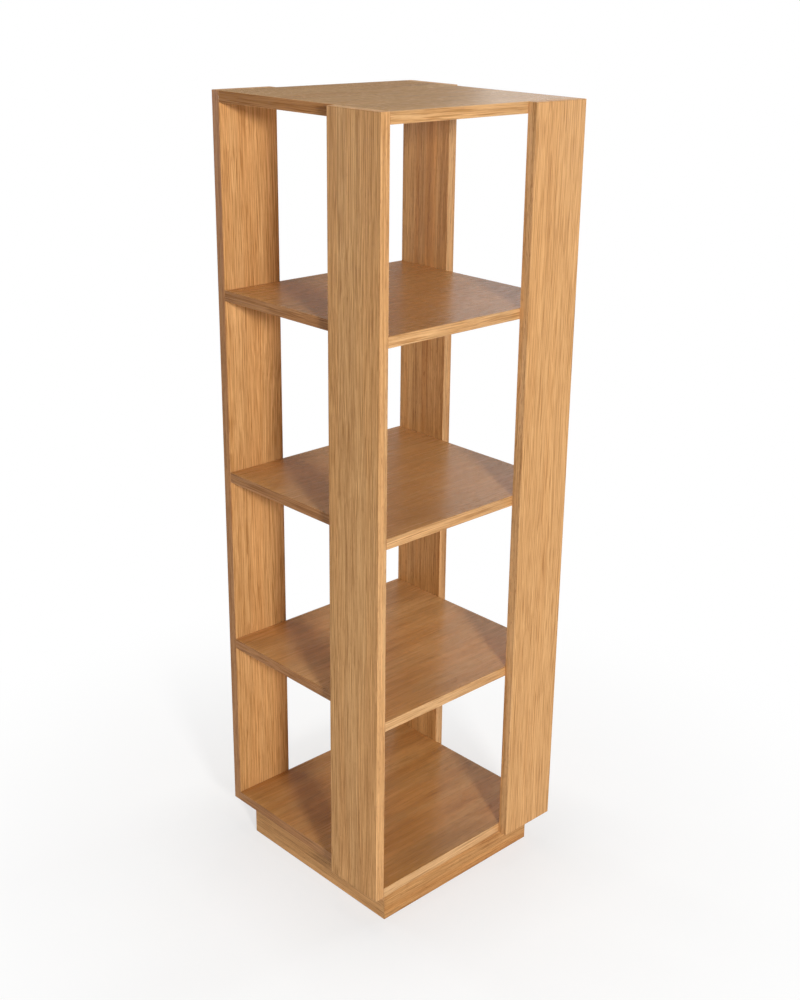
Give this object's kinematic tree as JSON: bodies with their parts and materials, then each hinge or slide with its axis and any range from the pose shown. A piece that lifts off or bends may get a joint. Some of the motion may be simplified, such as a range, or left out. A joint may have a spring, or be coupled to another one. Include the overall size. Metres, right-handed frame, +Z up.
{
  "type": "column bookcase",
  "caption": "Square column bookcase: open square shelves between narrow full-height uprights set in a pinwheel, on a set-back plinth.",
  "frame": {"origin": "middle of the square column, on the floor under the glides", "axes": "+Z up the column, -X the left side, -Y the front side; each upright stands on one of the four sides"},
  "size_m": [0.436, 0.436, 1.366],
  "materials": {
    "oak_veneer": "matt lacquered straight-grained oak veneer",
    "beech": "bare fluted beech",
    "pine": "bare planed pine",
    "steel": "bright zinc-plated steel",
    "zinc": "bare zinc die casting",
    "cap_plastic": "matt tan plastic",
    "glide_plastic": "brown nylon"
  },
  "bodies": {
    "root": {"cam_bolts_bottom": "steel", "cam_bolts_lower": "steel", "cam_bolts_middle": "steel", "cam_bolts_top": "steel", "cam_bolts_upper": "steel", "cam_caps_lower": "cap_plastic", "cam_caps_middle": "cap_plastic", "cam_caps_top": "cap_plastic", "cam_caps_upper": "cap_plastic", "cam_locks_bottom": "zinc", "cam_locks_lower": "zinc", "cam_locks_middle": "zinc", "cam_locks_top": "zinc", "cam_locks_upper": "zinc", "dowels_bottom": "beech", "dowels_lower": "beech", "dowels_middle": "beech", "dowels_top": "beech", "dowels_upper": "beech", "floor_glides": "glide_plastic", "plinth_block_back_left": "pine", "plinth_block_back_right": "pine", "plinth_block_front_left": "pine", "plinth_block_front_right": "pine", "plinth_rail_back": "oak_veneer", "plinth_rail_front": "oak_veneer", "plinth_rail_left": "oak_veneer", "plinth_rail_right": "oak_veneer", "plinth_screws": "steel", "shelf_bottom": "oak_veneer", "shelf_lower": "oak_veneer", "shelf_middle": "oak_veneer", "shelf_top": "oak_veneer", "shelf_upper": "oak_veneer", "upright_back": "oak_veneer", "upright_front": "oak_veneer", "upright_left": "oak_veneer", "upright_right": "oak_veneer"}
  },
  "joints": []
}
